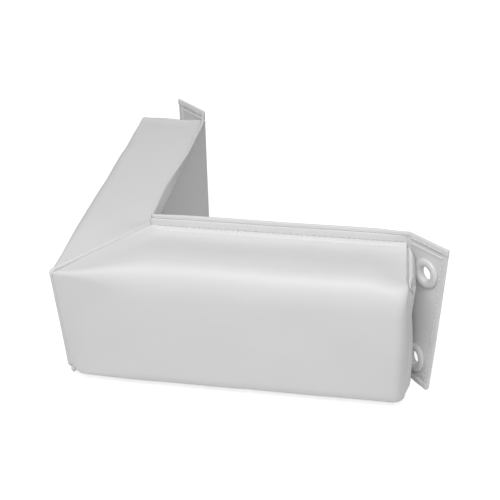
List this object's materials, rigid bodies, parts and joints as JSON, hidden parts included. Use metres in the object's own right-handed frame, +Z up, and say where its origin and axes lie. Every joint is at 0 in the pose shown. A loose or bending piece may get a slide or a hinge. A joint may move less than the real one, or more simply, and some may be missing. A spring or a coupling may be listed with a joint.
{
  "type": "dock corner bumper",
  "caption": "L-shaped padded vinyl bumper for the corner of a dock, with a hemmed lip along its back and a flange with grommets at each end.",
  "frame": {"origin": "under the middle of the whole object's box, on the surface that its lower hem stands on", "axes": "+X along the right arm away from the outer corner, +Y along the left arm, +Z up"},
  "size_m": [0.324, 0.3188, 0.1333],
  "materials": {
    "vinyl": "smooth vinyl-coated fabric, pale grey-white, satin",
    "foam": "closed-cell foam, matt",
    "grommet": "moulded white plastic, semi-gloss"
  },
  "bodies": {
    "root": {"back_panel": "vinyl", "right_arm_cover": "vinyl", "left_arm_cover": "vinyl", "right_foam_core": "foam", "left_foam_core": "foam", "right_upper_grommet": "grommet", "right_lower_grommet": "grommet", "left_upper_grommet": "grommet", "left_lower_grommet": "grommet", "right_upper_washer": "grommet", "right_lower_washer": "grommet", "left_upper_washer": "grommet", "left_lower_washer": "grommet"}
  },
  "joints": []
}
